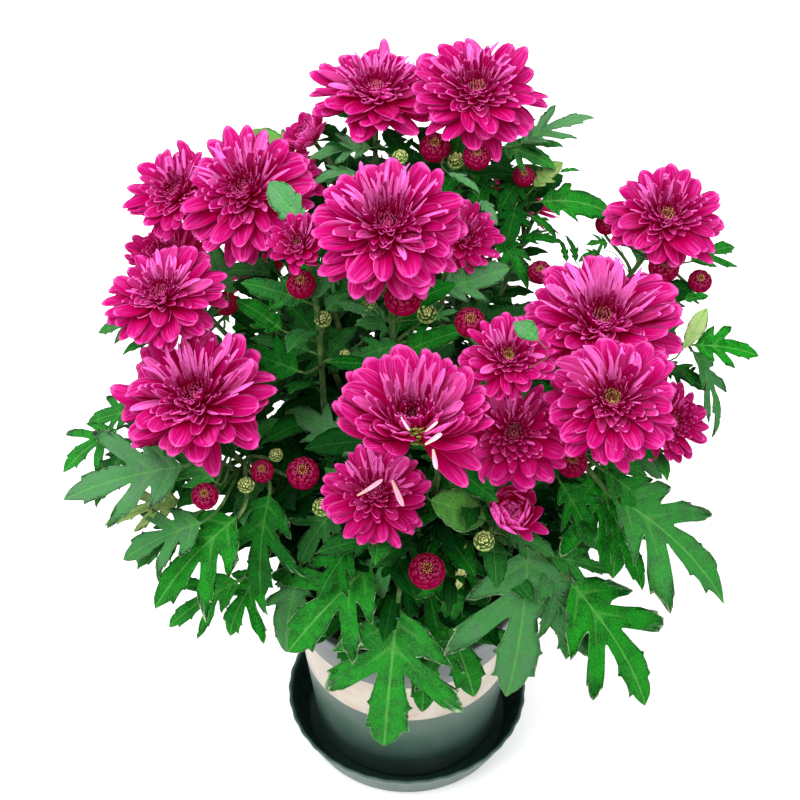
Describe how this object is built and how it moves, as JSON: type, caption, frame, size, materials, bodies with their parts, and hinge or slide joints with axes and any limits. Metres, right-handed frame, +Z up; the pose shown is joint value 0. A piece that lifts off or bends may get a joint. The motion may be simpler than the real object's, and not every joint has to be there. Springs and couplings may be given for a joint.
{
  "type": "pot chrysanthemum",
  "caption": "Flowering pot chrysanthemum with crimson-magenta double blooms and lobed leaves, in a tapered plastic pot on a saucer.",
  "frame": {"origin": "middle of the saucer's underside, on the surface that the plant stands on", "axes": "+Z up along the pot's axis, -Y towards the front of the plant, +X to the right as seen from the front"},
  "size_m": [0.3828, 0.3229, 0.4264],
  "materials": {
    "pot": "satin dark green plastic with a cream band flecked in brown and pink",
    "saucer": "satin dark green plastic",
    "soil": "loose potting soil",
    "foliage": "living green leaf, satin above and paler below",
    "petals": "velvety crimson-magenta petal with a lilac-pink reverse",
    "bud_petals": "velvety dark crimson bud"
  },
  "bodies": {
    "root": {"bloom_back_left": "petals", "bloom_back_middle": "petals", "bloom_back_right": "petals", "bloom_back_side": "petals", "bloom_centre": "petals", "bloom_centre_right": "petals", "bloom_crown": "petals", "bloom_crown_left": "petals", "bloom_crown_right": "petals", "bloom_front": "petals", "bloom_front_cup": "petals", "bloom_left_behind": "petals", "bloom_left_inner": "petals", "bloom_left_lower": "petals", "bloom_left_middle": "petals", "bloom_left_outer": "petals", "bloom_left_upper": "petals", "bloom_right_edge": "petals", "bloom_right_lower": "petals", "bloom_right_outer": "petals", "bloom_right_upper": "petals", "bloom_small_centre": "petals", "bloom_top_left": "petals", "bloom_top_right": "petals", "bloom_top_side": "petals", "bud_centre": "bud_petals", "bud_front": "bud_petals", "bud_front_left": "bud_petals", "bud_left_edge": "bud_petals", "bud_left_inner": "bud_petals", "bud_left_low": "bud_petals", "bud_left_shade": "bud_petals", "bud_left_under": "bud_petals", "bud_right_behind": "bud_petals", "bud_right_low": "bud_petals", "bud_right_neck": "bud_petals", "bud_right_outer": "bud_petals", "bud_shade": "bud_petals", "bud_top_left": "bud_petals", "bud_top_outer": "bud_petals", "bud_top_right": "bud_petals", "bud_under_crown": "bud_petals", "leafy_stem_1": "foliage", "leafy_stem_2": "foliage", "leafy_stem_3": "foliage", "leafy_stem_4": "foliage", "leafy_stem_5": "foliage", "pot": "pot", "saucer": "saucer", "soil": "soil"}
  },
  "joints": []
}
